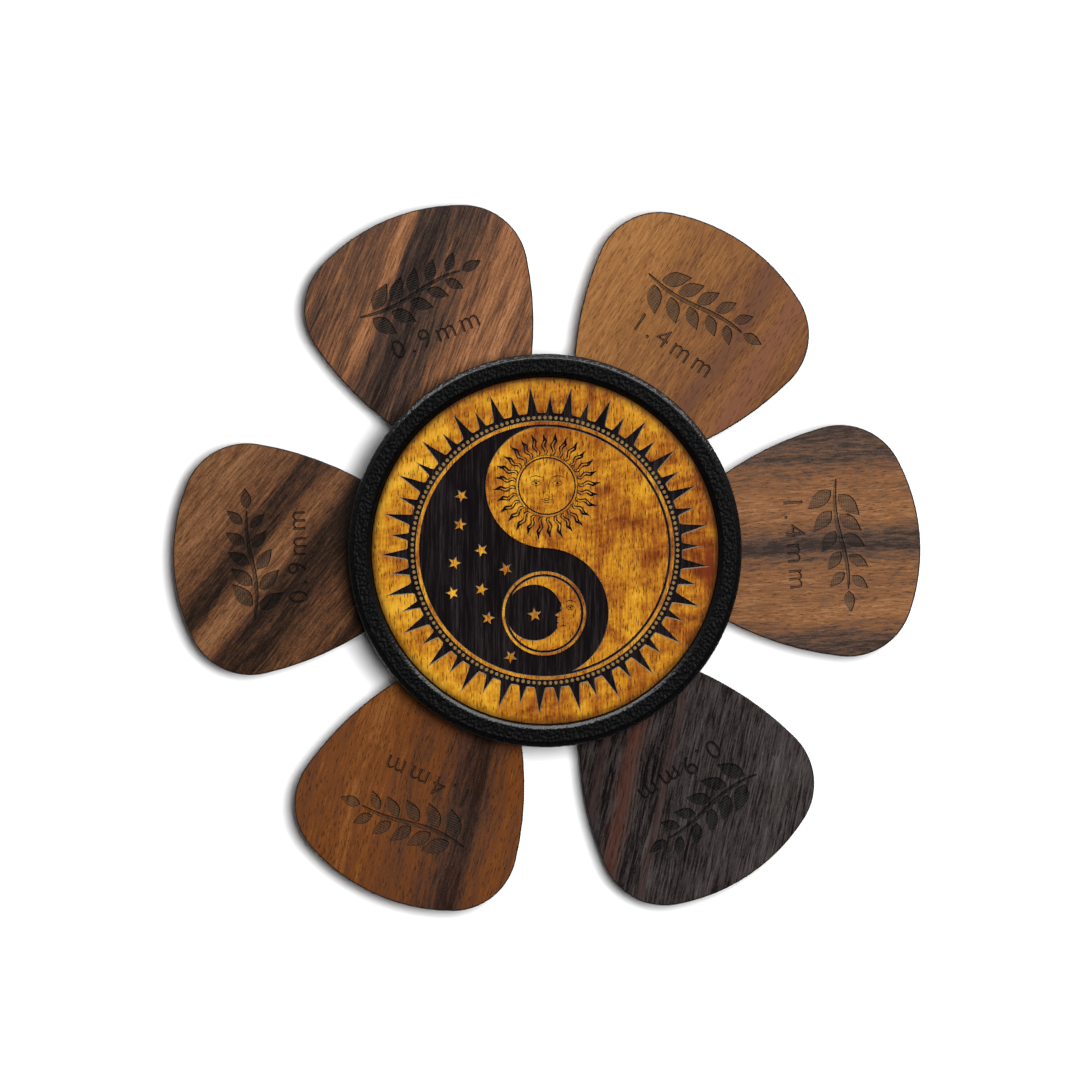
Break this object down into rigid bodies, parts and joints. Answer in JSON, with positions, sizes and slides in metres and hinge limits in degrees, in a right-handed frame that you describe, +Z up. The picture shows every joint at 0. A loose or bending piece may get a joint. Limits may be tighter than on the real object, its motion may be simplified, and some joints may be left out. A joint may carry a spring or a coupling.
{
  "type": "pick holder",
  "caption": "Round leather-bound pick holder: wooden guitar picks fan out between a base and a magnetic lift-off lid with an engraved sun-and-moon disc of wood set into it.",
  "frame": {"origin": "centre of the foot pad's lower face, which rests on the table", "axes": "+Z up through the middle of the lid; +Y towards the sun on the wooden disc; +X towards the pick called pick_right"},
  "size_m": [0.0838, 0.0791, 0.0104],
  "materials": {
    "black_leather": "pebbled, satin",
    "suede_lining": "short nap, matt",
    "moulded_core": "fine moulded texture",
    "keeper_steel": "zinc plated",
    "plated_magnet": "nickel plated",
    "dowel_steel": "ground",
    "disc_wood": "polished, with figures cut in and burnt black",
    "banded_brown_wood": "fine sanded, charred edge",
    "fine_tan_wood": "fine sanded, charred edge",
    "striped_orange_wood": "fine sanded, charred edge",
    "barred_brown_wood": "fine sanded, charred edge",
    "warm_orange_wood": "fine sanded, charred edge",
    "ebony_wood": "fine sanded, charred edge"
  },
  "bodies": {
    "base": {"foot_pad": "suede_lining", "base_leather": "black_leather", "base_core": "moulded_core", "base_hub": "moulded_core", "base_keeper": "keeper_steel", "base_magnet": "plated_magnet", "base_lining": "suede_lining", "locating_pin_1": "dowel_steel", "locating_pin_2": "dowel_steel", "locating_pin_3": "dowel_steel", "locating_pin_4": "dowel_steel", "locating_pin_5": "dowel_steel", "locating_pin_6": "dowel_steel"},
    "lid": {"lid_lining": "suede_lining", "lid_core": "moulded_core", "lid_keeper": "keeper_steel", "lid_magnet": "plated_magnet", "lid_leather": "black_leather", "wood_disc": "disc_wood"},
    "pick_right": {"pick_right": "banded_brown_wood"},
    "pick_upper_right": {"pick_upper_right": "fine_tan_wood"},
    "pick_upper_left": {"pick_upper_left": "striped_orange_wood"},
    "pick_left": {"pick_left": "barred_brown_wood"},
    "pick_lower_left": {"pick_lower_left": "warm_orange_wood"},
    "pick_lower_right": {"pick_lower_right": "ebony_wood"}
  },
  "joints": [
    {"name": "lid_lift", "type": "slide", "parent": "base", "child": "lid", "axis": [0, 0, 1], "range_m": [0, 0.02]},
    {"name": "pick_right_slide", "type": "slide", "parent": "base", "child": "pick_right", "axis": [0.9969, 0.0785, 0], "range_m": [0, 0.014]},
    {"name": "pick_upper_right_slide", "type": "slide", "parent": "base", "child": "pick_upper_right", "axis": [0.5664, 0.8241, 0], "range_m": [0, 0.014]},
    {"name": "pick_upper_left_slide", "type": "slide", "parent": "base", "child": "pick_upper_left", "axis": [-0.3907, 0.9205, 0], "range_m": [0, 0.014]},
    {"name": "pick_left_slide", "type": "slide", "parent": "base", "child": "pick_left", "axis": [-0.9994, -0.0349, 0], "range_m": [0, 0.014]},
    {"name": "pick_lower_left_slide", "type": "slide", "parent": "base", "child": "pick_lower_left", "axis": [-0.4147, -0.91, 0], "range_m": [0, 0.014]},
    {"name": "pick_lower_right_slide", "type": "slide", "parent": "base", "child": "pick_lower_right", "axis": [0.5592, -0.829, 0], "range_m": [0, 0.014]}
  ]
}
